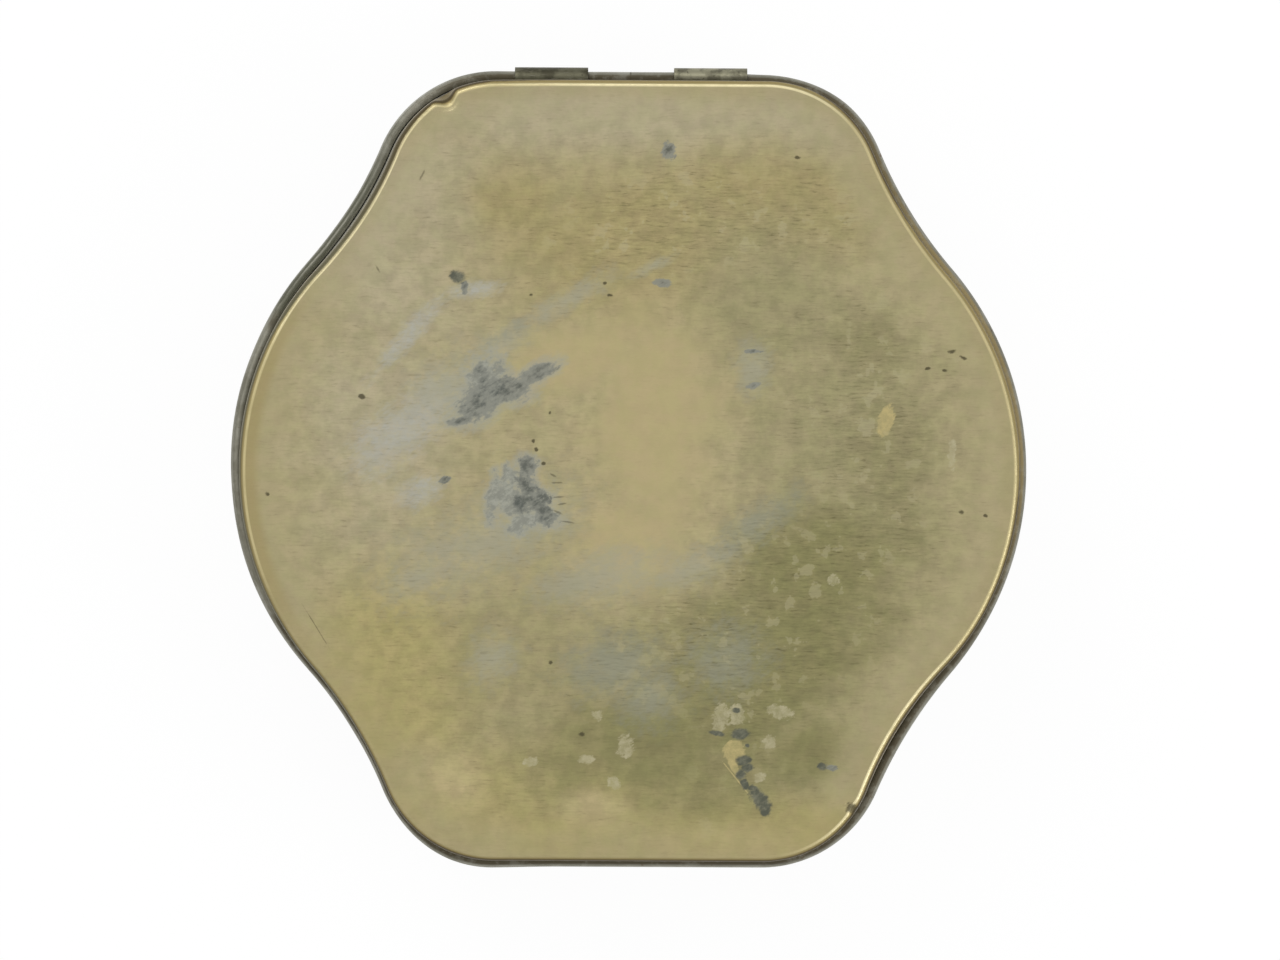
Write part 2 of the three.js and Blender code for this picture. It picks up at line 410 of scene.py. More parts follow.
def newMaterial(name):
    material = bpy.data.materials.new(name)
    material.use_nodes = True
    tree = material.node_tree
    tree.nodes.clear()
    shader = tree.nodes.new("ShaderNodeBsdfPrincipled")
    output = tree.nodes.new("ShaderNodeOutputMaterial")
    tree.links.new(shader.outputs["BSDF"], output.inputs["Surface"])
    place = put(tree, "TexCoord").outputs["Object"]
    spot = vectorCalc(tree, "SCALE", place, (0, 0, 0))
    spot.node.inputs["Scale"].default_value = 1 / mm      # positions in millimetres from here on
    return material, tree, shader, spot


def acrossSection(tree):
    # how far along its section a point of a piece lies, in millimetres
    return put(tree, "Attribute", attribute_name="across").outputs["Fac"]


def greyOf(tree, value):
    return put(tree, "CombineColor", {0: value, 1: value, 2: value}).outputs[0]


def finishShader(tree, shader, colour, roughness, metallic, height, strength, depth=0.1 * mm):
    feed(tree, shader.inputs["Base Color"], colour)
    feed(tree, shader.inputs["Roughness"], roughness)
    feed(tree, shader.inputs["Metallic"], metallic)
    bump = put(tree, "Bump", {"Height": height, "Strength": strength, "Distance": depth})
    feed(tree, shader.inputs["Normal"], bump.outputs["Normal"])


# Rolling marks of the sheet: short dashes and longer streaks that lie one way
def makeRollGrain():
    tree, enter, leave = newGroup("rollGrain", (("Vector", "Vector"), ("Scale", "Vector")),
                                  (("Dashes", "Float"), ("Streaks", "Float"), ("Height", "Float")))
    lined = vectorCalc(tree, "MULTIPLY", enter["Vector"], enter["Scale"])
    wander = grainNoise(tree, enter["Vector"], 0.35, 2.0)
    bent = vectorCalc(tree, "ADD", lined, put(tree, "CombineXYZ", {"Y": wander, "Z": wander}).outputs[0])
    fine = grainNoise(tree, bent, 1.0, 3.5, 0.62)
    stretched = vectorCalc(tree, "MULTIPLY", bent, (0.3, 0.35, 0.35))
    broad = grainNoise(tree, stretched, 1.0, 2.0, 0.5)
    feed(tree, leave["Dashes"], spread(tree, fine, 0.55, 0.75))
    feed(tree, leave["Streaks"], spread(tree, broad, 0.35, 0.68))
    feed(tree, leave["Height"], plus(tree, fine, times(tree, broad, 0.5)))
    return tree


# Age of bare metal: soft stains and small dark freckles
def makeTarnish():
    tree, enter, leave = newGroup("tarnish", (("Vector", "Vector"), ("Size", "Float"), ("Cover", "Float")),
                                  (("Stain", "Float"), ("Freckles", "Float")))
    scaled = put(tree, "VectorMath", {0: enter["Vector"]}, operation="SCALE")
    feed(tree, scaled.inputs["Scale"], calc(tree, "DIVIDE", 1.0, enter["Size"]))
    cloudy = grainNoise(tree, scaled.outputs[0], 1.0, 5.0, 0.62)
    level = minus(tree, 0.75, times(tree, enter["Cover"], 0.5))
    past = minus(tree, cloudy, level)
    feed(tree, leave["Stain"], spread(tree, past, -0.08, 0.12))
    spots = grainNoise(tree, scaled.outputs[0], 5.5, 2.0, 0.5)
    feed(tree, leave["Freckles"], spread(tree, spots, 0.66, 0.74))
    return tree


rollGrain = makeRollGrain()
tarnish = makeTarnish()


def useGrain(tree, vector, scale):
    return useGroup(tree, rollGrain, {"Vector": vector, "Scale": scale})


def useTarnish(tree, vector, size, cover):
    return useGroup(tree, tarnish, {"Vector": vector, "Size": size, "Cover": cover})


def grainRoughness(tree, grain, low, high):
    # rougher where the rolling marks stand up
    return spread(tree, grain["Height"], 0.4, 1.0, low, high)


def nearestPlace(tree, spot, places):
    # distance to the closest of many ellipses, 0 at a middle and 1 at an edge;
    # each is x, y, length and width in millimetres and a turn in degrees
    least = 99.0
    for x, y, length, width, turn in places:
        turned = Matrix.Rotation(math.radians(turn), 3, "Z")
        offset = vectorCalc(tree, "SUBTRACT", spot, (x, y, 0))
        squared = 0.0
        for direction in ((2 / length, 0, 0), (0, 2 / width, 0)):
            inputs = {0: offset, 1: turned @ Vector(direction)}
            share = put(tree, "VectorMath", inputs, operation="DOT_PRODUCT").outputs["Value"]
            squared = put(tree, "Math", {0: share, 1: share, 2: squared}, operation="MULTIPLY_ADD").outputs[0]
        least = lesser(tree, least, squared)
    return calc(tree, "SQRT", least)


def unevenPlace(tree, spot, places, breakup):
    # the same distance, with its edges broken up by a noise centred on zero
    return plus(tree, nearestPlace(tree, spot, places), breakup)


def placeMask(tree, spot, places, breakup, amount, soft):
    # one inside the places, fading out over soft
    away = unevenPlace(tree, spot, places, times(tree, breakup, amount))
    return spread(tree, away, 1.0, 1.0 - soft)


# Gold lacquer of the lid's plate, with its wear where the years left it, and painted highlight and shade
# along the fold
lacquer = {
    "base": tone(161, 151, 114),
    "tones": (                 # colour, share inside, share at the edge and places of each broad tone
        (tone(166, 157, 127), 0.9, 0.8, ((-42, 44, 46, 56, 0), (0, 66, 110, 18, 0), (-48, 8, 36, 50, 0),
                                         (-46, 55, 20, 18, 0))),
        (tone(154, 142, 98), 0.9, 0.3, ((-2, 43, 76, 36, 0), (26, 50, 44, 26, -15), (-21, 50, 26, 20, 0))),
        (tone(161, 150, 99), 0.85, 0.8, ((-14, -60, 74, 26, 0), (-42, -40, 34, 46, 25),
                                         (24, -66, 60, 14, 0))),
        (tone(146, 138, 99), 0.75, 0.3, ((-19, -36, 34, 50, 0),)),
        (tone(146, 139, 102), 0.9, 0.3, ((42, 4, 50, 66, 0), (26, 31, 36, 38, 20))),
        (tone(129, 124, 83), 1.0, 0.3, ((25, -38, 82, 50, 46), (7, -51, 52, 28, 10), (34, -21, 32, 38, -10),
                                        (34, -52, 28, 22, 0))),
        (tone(138, 131, 94), 0.8, 0.3, ((49, 3, 18, 27, 0), (45, 24, 16, 14, 0))),
        (tone(171, 158, 116), 0.95, 0.4, ((5, 7, 30, 60, 4), (-10, 21, 30, 16, 20), (-1, -13, 24, 22, 0),
                                          (-34, -59, 16, 14, 0), (17, -70, 32, 7, 0), (-6, -64, 14, 9, 0))),
    ),
    "smoothPlaces": ((5, 7, 32, 66, 4), (-10, 21, 32, 20, 20), (2, -14, 30, 24, 0)),
    "coarsePlaces": ((26, -30, 80, 60, 46), (44, 6, 46, 70, 0), (10, 46, 80, 32, 0)),
    "grain": (0.4, 2.3, 2.3),
    "grainDark": tone(86, 82, 47),
    "pink": (1.012, 0.994, 1.018, 1.0),
    "green": (0.984, 1.004, 0.97, 1.0),
    "haze": tone(166, 165, 154),
    "hazePlaces": ((-45, 5.5, 22, 12, 38), (-39, 11, 22, 10, 42), (-41.5, 25.5, 24, 4.4, 49),
                   (-29, 34, 15, 4, 8), (-39, -4, 12, 7, 30)),
    "bloom": tone(156, 153, 131),
    "bloomPlaces": ((-33, 15.5, 14, 13, 50), (-25, 23.5, 17, 5.6, 34), (-12, 32, 20, 4, 28),
                    (-27, -13, 32, 15, 24), (-39, -20, 14, 6, 26), (-6, -20, 26, 9, 14),
                    (-25, -35, 10, 8, 60), (-18, -9, 16, 9, 0), (12, -18, 15, 7, 20),
                    (4, 38.5, 9, 2, 24), (23, 19.5, 6, 9, 0)),
    "smoke": tone(140, 140, 121),
    "smokePlaces": ((24, -9.5, 20, 6, 32), (-23.4, 25.8, 10, 2.6, 36), (-2, -37, 18, 12, 0),
                    (4, -42.5, 12, 11, 0), (19, -35.5, 15, 13, 20)),
    "wornHalo": tone(152, 153, 141),
    "worn": tone(129, 130, 120),
    "wornDeep": tone(76, 80, 75),
    "strip": tone(112, 112, 95),
    "stripDeep": tone(76, 79, 68),
    "smearPlaces": ((-28.6, 12.6, 8.6, 6.6, 40), (-24.1, 15.3, 10.4, 5.4, 0), (-28, 18, 2.8, 5, 10),
                    (-17.8, 18.2, 9, 3.4, 28), (-20.8, 15.9, 4.6, 3.6, 0), (-31.6, 9.3, 6, 1.8, 14)),
    "wornPlaces": ((-19.1, 0.5, 3.8, 4.6, 0), (-19.2, -3.0, 4.4, 4.4, 0), (-18.4, -5.6, 6.6, 5.2, 0),
                   (-16.4, -7.6, 3.6, 2.6, 0), (-15.6, -9.3, 5.0, 3.2, 0)),
    "palePlaces": ((-22.5, -5.2, 4.8, 8.6, 0), (-25.7, -5.0, 2.4, 8.4, -6), (-21.2, -10.0, 3.6, 4.6, 0),
                   (-22.7, -0.4, 2.2, 4.6, -30), (-18.6, -9.2, 6.0, 2.6, 0), (-27.2, 16.6, 6.6, 8.0, -10)),
    "stripPlaces": ((16.7, -49.3, 3.2, 1.0, -10), (21.0, -49.4, 3.5, 2.3, 8), (20.3, -45.0, 1.5, 1.0, 0),
                    (22.4, -51.6, 0.9, 0.8, 0), (21.8, -54.4, 3.0, 2.0, 0), (22.5, -55.8, 2.3, 1.9, 20),
                    (21.2, -57.1, 2.1, 2.1, -40), (21.9, -58.8, 1.5, 2.3, 20), (23.5, -59.6, 2.1, 1.0, 0),
                    (24.9, -61.9, 6.0, 3.0, -53), (25.8, -63.9, 1.9, 1.7, 0), (-32.6, 36.3, 3.0, 2.5, 0),
                    (36.5, -55.5, 2.0, 1.5, -10)),
    "flakePlaces": ((38.2, -55.7, 2.4, 1.4, -10), (7.0, 60.3, 3.2, 3.2, 0),
                    (6.0, 35.4, 3.8, 1.8, 0), (-31.2, 34.2, 1.4, 2.6, 0),
                    (23.1, 16.2, 2.8, 1.4, 20), (23.0, 22.6, 3.2, 0.8, 0), (-34.7, -1.8, 2.6, 1.4, 30)),
    "fleck": tone(172, 165, 133),
    "goldFleck": tone(179, 164, 113),
    "goldPlaces": ((48.1, 9.6, 3.4, 6.6, -14), (19.9, -52.6, 4.8, 4.6, 30), (19.8, -55.4, 1.6, 4.4, 24),
                   (20.4, -57.9, 9.8, 0.24, -51)),
    "fleckPlaces": ((17.5, -46.6, 3.8, 5.8, -14), (20.6, -46.0, 3.4, 4.6, 10), (28.5, -45.2, 5.2, 2.8, -15),
                    (26.6, -51.0, 2.5, 2.8, 0), (-0.5, -52.0, 3.6, 4.6, 0),
                    (-2.7, -58.8, 2.4, 3.8, 30), (-18.4, -54.8, 3.0, 2.0, 0), (-8.0, -54.3, 3.4, 2.2, 0),
                    (-6.0, -46.0, 2.6, 2.0, 0), (38.4, -20.3, 2.8, 2.2, -30), (60.6, 3.4, 1.8, 6.6, 0),
                    (24.6, -57.6, 2.4, 2.2, 20)),
    "speck": tone(66, 60, 38),
    "speckPlaces": ((-50.4, 13.7, 1.5, 1.3, 0), (-68.1, -4.8, 1.0, 1.0, 0), (-14.7, -36.1, 1.1, 1.0, 0),
                    (-15.1, 10.9, 0.9, 0.9, 0), (-18.8, 33.0, 1.0, 0.8, 0), (-4.9, 35.3, 1.1, 0.9, 0),
                    (-3.9, 33.0, 1.4, 0.7, 0), (-18.2, 5.5, 0.9, 0.9, 0), (-17.6, 3.9, 0.9, 1.2, 20),
                    (-16.2, 1.3, 1.0, 0.8, 0), (62.5, -7.5, 1.3, 1.2, 0), (67.0, -8.1, 1.0, 0.8, 0),
                    (60.5, 22.8, 2.2, 1.0, 10), (62.6, 21.6, 1.6, 0.9, -20), (55.9, 19.6, 1.3, 0.8, 0),
                    (59.0, 19.2, 1.2, 0.8, 0), (31.2, 59.1, 1.4, 0.9, 0), (-8.8, -49.6, 1.6, 1.0, 0),
                    (42.2, -63.3, 3.0, 2.6, 0)),
    "scratches": ((-59, -29.4, 11, 0.3, -58), (-39.3, 55.5, 2.8, 0.5, 63), (-47.6, 37.7, 2.0, 0.6, -60),
                  (-13.4, -5.0, 2.8, 0.5, 4), (-12.7, -6.3, 2.4, 0.45, 10), (-13.6, -7.8, 2.4, 0.6, -24),
                  (-11.6, -9.7, 3.6, 0.5, -8), (-13.6, -2.3, 2.6, 0.45, 0), (-14.4, -0.9, 1.8, 0.5, -30)),
    # pale crest of the fold, partly worn metal and partly painted highlight, brighter in the places where the
    # lamps catch it
    "line": tone(190, 177, 131),
    "lineHighlight": tone(224, 212, 168),
    "highlightPlaces": ((14, 74, 84, 22, 0), (49, -52, 54, 28, 50), (-56, 46, 66, 30, 52)),
    "rimOchre": tone(148, 132, 84),
    # where the fold faces the light it stays ochre; elsewhere its outer curve gets painted shade in brown,
    # greyer on the left
    "litFoldPlaces": ((10, 74, 84, 20, 0), (66, 26, 40, 76, 14)),
    "rimShadeBrown": tone(78, 66, 37),
    "rimGrey": tone(100, 95, 70),
    "bentPlaces": ((-54, 49, 62, 28, 55),),
    # noises: scale in a millimetre, detail and roughness
    "cloud": (0.06, 4.0, 0.6),
    "blotch": (0.22, 4.0, 0.65),
    "crumble": (0.75, 5.0, 0.72),
    "lumps": (0.5, 3.0, 0.55),
    "patches": (0.3, 3.0, 0.55),
    "patchShift": (40, 70, 0),
    "torn": (0.9, 5.0, 0.68),
    "tornTurn": (0, 0, 0.6),         # radians
    "tornStretch": (1.7, 0.75, 1.0),
    # lengths along the plate's section in millimetres, counted outwards
    "border": (-12.0, -2.0),
    # strip of painted shade inside the bead, strongest on the left
    "slopeShadeStrip": (-1.0, -0.2, 2.2),
    "crestStrip": (0.1, 0.38, 0.18),
    "ochreFrom": (0.45, 0.8),
    "rimShadeFrom": (0.7, 1.15),
    "turnedFrom": (1.5, 2.1),
    "turnedTo": (3.7, 3.1),
    # where the tone of the fold changes, across the tin in millimetres
    "frontFrom": (-48.0, -62.0),
    "leftFrom": (-58.0, -70.0),
    "greyFrom": (-36.0, -58.0),
    "deeperBelow": (9.0, 4.0),       # the lower of the two rubbed patches is the deeper one
    "roughness": (0.38, 0.52),
    "metallic": 0.6,
    "bump": 0.15,
}


def makeLidLacquer():
    look = lacquer
    material, tree, shader, spot = newMaterial("lid lacquer")
    across = acrossSection(tree)
    grain = useGrain(tree, spot, look["grain"])

    # noises that the outlines and tones share, centred on zero
    cloud = swing(tree, spot, *look["cloud"])
    blotch = swing(tree, spot, *look["blotch"])
    crumble = swing(tree, spot, *look["crumble"])
    shifted = vectorCalc(tree, "ADD", spot, look["patchShift"])
    patches = swing(tree, shifted, *look["patches"])

    # broad tones, lighter and smoother towards the edge; the lighter ones at the upper left and the darker
    # olive ones at the lower right are partly the lacquer's own tone and partly painted light and shade,
    # lighter where the light falls from the upper left
    border = spread(tree, across, *look["border"])
    colour = look["base"]
    for shade, share, edgeShare, places in look["tones"]:
        away = unevenPlace(tree, spot, places, times(tree, cloud, 1.3))
        mask = spread(tree, away, 1.3, 0.25)
        mask = times(tree, mask, spread(tree, border, 0.0, 1.0, share, edgeShare))
        colour = mixTone(tree, mask, colour, shade)
    tint = mixTone(tree, spread(tree, blotch, -0.12, 0.12), look["green"], look["pink"])
    colour = mixTone(tree, 1.0, colour, tint, "MULTIPLY")
    mottle = plus(tree, spread(tree, crumble, -0.25, 0.25, -0.06, 0.06),
                  spread(tree, patches, -0.16, 0.16, 0.92, 1.08))
    mottled = greyOf(tree, mottle)
    smooth = placeMask(tree, spot, look["smoothPlaces"], cloud, 1.6, 0.6)
    calm = minus(tree, 1.0, greater(tree, times(tree, smooth, 0.75), times(tree, border, 0.5)))
    colour = mixTone(tree, calm, colour, mixTone(tree, 1.0, colour, mottled, "MULTIPLY"))

    # pale haze wiped across and grey bloom on the olive
    inputs = {"Vector": spot, "Rotation": look["tornTurn"], "Scale": look["tornStretch"]}
    leaning = put(tree, "Mapping", inputs, vector_type="TEXTURE").outputs[0]
    torn = swing(tree, leaning, *look["torn"])
    ragged = plus(tree, times(tree, torn, 2.8), times(tree, crumble, 1.6))
    drift = plus(tree, times(tree, cloud, 1.2), times(tree, torn, 1.5))
    haze = unevenPlace(tree, spot, look["hazePlaces"], drift)
    haze = times(tree, spread(tree, haze, 1.2, 0.15, 0.0, 0.95), spread(tree, crumble, -0.2, 0.2, 1.0, 0.45))
    colour = mixTone(tree, haze, colour, look["haze"])
    bloom = unevenPlace(tree, spot, look["bloomPlaces"], drift)
    flaky = plus(tree, times(tree, crumble, 1.3), times(tree, patches, 1.6))
    bloom = plus(tree, bloom, flaky)
    colour = mixTone(tree, spread(tree, bloom, 1.6, -0.1, 0.0, 0.75), colour, look["bloom"])
    smoke = unevenPlace(tree, spot, look["smokePlaces"], plus(tree, drift, flaky))
    smoke = spread(tree, smoke, 1.6, -0.2, 0.0, 0.75)
    colour = mixTone(tree, smoke, colour, look["smoke"])

    # rolling grain, strong on the right and faint where the lacquer lies smooth
    coarse = placeMask(tree, spot, look["coarsePlaces"], cloud, 2.0, 0.9)
    strength = times(tree, spread(tree, coarse, 0.0, 1.0, 0.5, 1.1), calm)
    streaky = spread(tree, grain["Height"], 0.5, 1.0, 1.1, 0.84)
    streaked = greyOf(tree, streaky)
    streaked = mixTone(tree, 1.0, colour, streaked, "MULTIPLY")
    colour = mixTone(tree, times(tree, strength, 0.9, True), colour, streaked)
    patchy = times(tree, strength, spread(tree, blotch, -0.14, 0.16, 0.2, 0.7))
    colour = mixTone(tree, times(tree, grain["Dashes"], patchy, True), colour, look["grainDark"])

    # paler flecks and islands
    fleck = placeMask(tree, spot, look["fleckPlaces"], ragged, 0.7, 0.3)
    fleck = times(tree, fleck, spread(tree, crumble, -0.15, 0.15, 0.85, 0.3))
    islands = times(tree, spread(tree, patches, 0.09, 0.12), times(tree, coarse, 0.3))
    fleck = greater(tree, fleck, islands)
    colour = mixTone(tree, fleck, colour, look["fleck"])
    gold = placeMask(tree, spot, look["goldPlaces"], ragged, 0.4, 0.22)
    gold = times(tree, gold, spread(tree, crumble, -0.2, 0.2, 1.0, 0.35))
    colour = mixTone(tree, gold, colour, look["goldFleck"])

    # places rubbed through, unevenly deep
    smear = unevenPlace(tree, spot, look["smearPlaces"], times(tree, ragged, 0.5))
    lumps = swing(tree, spot, *look["lumps"])
    crumbled = plus(tree, times(tree, lumps, 1.8), times(tree, crumble, 1.5))
    pale = unevenPlace(tree, spot, look["palePlaces"], times(tree, crumbled, 1.3))
    worn = unevenPlace(tree, spot, look["wornPlaces"], crumbled)
    flake = unevenPlace(tree, spot, look["flakePlaces"], times(tree, ragged, 0.6))
    strip = unevenPlace(tree, spot, look["stripPlaces"], times(tree, ragged, 0.42))
    worn = lesser(tree, worn, smear)
    around = lesser(tree, worn, pale)
    colour = mixTone(tree, spread(tree, around, 1.8, 0.9, 0.0, 0.6), colour, look["wornHalo"])
    streaked = spread(tree, plus(tree, torn, crumble), -0.15, 0.2)
    rubbed = mixTone(tree, streaked, look["worn"], look["wornHalo"])
    colour = mixTone(tree, spread(tree, pale, 1.15, 0.6, 0.0, 0.9), colour, rubbed)
    worn = lesser(tree, worn, flake)
    bare = spread(tree, worn, 1.1, 0.75)
    depth = plus(tree, worn, times(tree, plus(tree, torn, lumps), 2.4))
    x, y = put(tree, "SeparateXYZ", {0: spot}).outputs[:2]
    depth = plus(tree, depth, spread(tree, y, *look["deeperBelow"], 0.15, -0.1))
    under = mixTone(tree, spread(tree, depth, 1.05, -0.45), look["worn"], look["wornDeep"])
    veins = spread(tree, minus(tree, torn, crumble), 0.12, 0.32, 0.0, 0.55)
    under = mixTone(tree, veins, under, look["wornHalo"])
    colour = mixTone(tree, times(tree, bare, 0.9), colour, under)
    stripped = spread(tree, strip, 1.2, 0.65)
    deep = mixTone(tree, spread(tree, plus(tree, crumble, torn), -0.2, 0.3), look["stripDeep"], look["strip"])
    colour = mixTone(tree, times(tree, stripped, 0.95), colour, deep)
    bare = greater(tree, bare, stripped)

    # the fold: painted shade in a strip inside it on the left, a pale crest that is partly worn metal and
    # partly painted highlight, then ochre, and painted shade in brown down to the seam
    slant = plus(tree, y, times(tree, x, 0.5))
    front = spread(tree, slant, *look["frontFrom"])
    leftSide = spread(tree, x, *look["leftFrom"], 0.12, 0.55)
    # painted shade on the left, in a strip inside the bead, where its inner slope would turn from the light
    slopeShade = times(tree, band(tree, across, *look["slopeShadeStrip"]), leftSide)
    colour = mixTone(tree, slopeShade, colour, look["rimOchre"])
    colour = mixTone(tree, spread(tree, across, *look["ochreFrom"], 0.0, 0.9), colour, look["rimOchre"])
    # painted shade in brown over the fold's outer curve, starting sooner where the skirt bends away and held
    # back where the fold faces the light
    bent = placeMask(tree, spot, look["bentPlaces"], blotch, 0.6, 0.5)
    along = times(tree, across, spread(tree, bent, 0.0, 1.0, 1.0, 1.8))
    litFold = placeMask(tree, spot, look["litFoldPlaces"], blotch, 0.6, 0.5)
    rimShaded = minus(tree, along, times(tree, litFold, 0.5))
    greyer = spread(tree, x, *look["greyFrom"])
    colour = mixTone(tree, spread(tree, rimShaded, *look["rimShadeFrom"]), colour,
                     mixTone(tree, greyer, look["rimShadeBrown"], look["rimGrey"]))
    turned = times(tree, spread(tree, across, *look["turnedFrom"]), spread(tree, across, *look["turnedTo"]))
    turned = times(tree, turned, spread(tree, plus(tree, blotch, cloud), -0.2, 0.2, 0.9, 0.35))
    colour = mixTone(tree, turned, colour, look["rimOchre"])
    # painted highlight along the crest, over partly worn metal; it fades at the front, where no light catches
    # it
    crest = times(tree, band(tree, along, *look["crestStrip"]), spread(tree, front, 0.0, 1.0, 0.95, 0.1))
    crest = times(tree, crest, spread(tree, blotch, -0.2, 0.1, 0.6, 1.0))
    lit = placeMask(tree, spot, look["highlightPlaces"], blotch, 1.0, 0.5)
    colour = mixTone(tree, crest, colour, mixTone(tree, lit, look["line"], look["lineHighlight"]))

    # specks and scratches over everything
    speck = placeMask(tree, spot, look["speckPlaces"], ragged, 0.6, 0.6)
    scratch = placeMask(tree, spot, look["scratches"], crumble, 1.6, 0.6)
    marks = greater(tree, speck, times(tree, scratch, 0.6))
    colour = layer(tree, colour, marks, 0.85, look["speck"])

    roughness = grainRoughness(tree, grain, *look["roughness"])
    roughness = minus(tree, roughness, times(tree, crest, 0.1))
    roughness = plus(tree, roughness, times(tree, bare, 0.06))
    height = plus(tree, grain["Height"], times(tree, crumble, 0.4))
    finishShader(tree, shader, colour, roughness, look["metallic"], height, look["bump"])
    return material


# Lacquer on the base plate and inside the plates: the same gold, less handled
innerLacquer = {
    "gold": tone(165, 153, 118),
    "dull": tone(139, 129, 98),
    "brown": tone(96, 78, 46),
    "grain": (0.2, 2.6, 2.6),
    "age": (16.0, 0.45),       # size of the stains and share covered
    "seamFrom": (0.8, 2.4),
    "roughness": (0.34, 0.46),
    "metallic": 0.7,
    "bump": 0.15,
}


def makeInnerLacquer():
    look = innerLacquer
    material, tree, shader, spot = newMaterial("inner lacquer")
    across = acrossSection(tree)
    grain = useGrain(tree, spot, look["grain"])
    age = useTarnish(tree, spot, *look["age"])
    colour = mixTone(tree, times(tree, age["Stain"], 0.6), look["gold"], look["dull"])
    colour = layer(tree, colour, grain["Dashes"], 0.3, look["dull"])
    colour = layer(tree, colour, age["Freckles"], 0.5, look["brown"])
    colour = layer(tree, colour, spread(tree, across, *look["seamFrom"]), 0.55, look["brown"])
    roughness = grainRoughness(tree, grain, *look["roughness"])
    finishShader(tree, shader, colour, roughness, look["metallic"], grain["Height"], look["bump"])
    return material


# Bare tinplate of the bands: dulled, streaked along the wall, with grime and painted shade beside its seams.
# Strips are lengths along each band's section, in millimetres.
bareTin = {
    "tin": tone(146, 144, 131),
    "bright": tone(194, 193, 182),
    "dull": tone(104, 101, 86),
    # grime and painted shade: the dark lap edge, and the darkening under the plate's lap and in the roll's
    # mouth
    "grimeAndShade": tone(74, 66, 45),
    "brown": tone(144, 128, 86),
    "rust": tone(96, 68, 42),
    "fineGrain": (0.05, 0.05, 3.4),
    "drawLines": (0.03, 0.03, 3.0),  # along, along, across the section
    "cleanPlaces": ((-74, 0, 28, 92, 0),),
    # where the lid's skirt leans out and leaves the wall open: less painted shade, and a lighter painted wall
    "splayedPlaces": ((-54, 52, 38, 90, -38),),
    "scrapedPlaces": ((-57, 47, 52, 22, 58),),
    "scraped": tone(78, 79, 62),
    "warmFrom": ((36.0, 60.0), (-30.0, 10.0)),
    "solder": tone(170, 170, 160),
    "solderFade": (-5.5, -1.5),      # wiped out to the left of the lap
    "solderEnd": (0.05, -0.05),
    "lapEdge": (-0.2, 0.0, 0.1),
    "rearFrom": (58.0, 64.0),
    "age": (9.0, 0.5),
    "fineAge": (2.2, 0.42),
    "cloud": (0.12, 3.0),
    "roughness": (0.32, 0.5),
    "metallic": 0.9,
    "bump": 0.2,
}


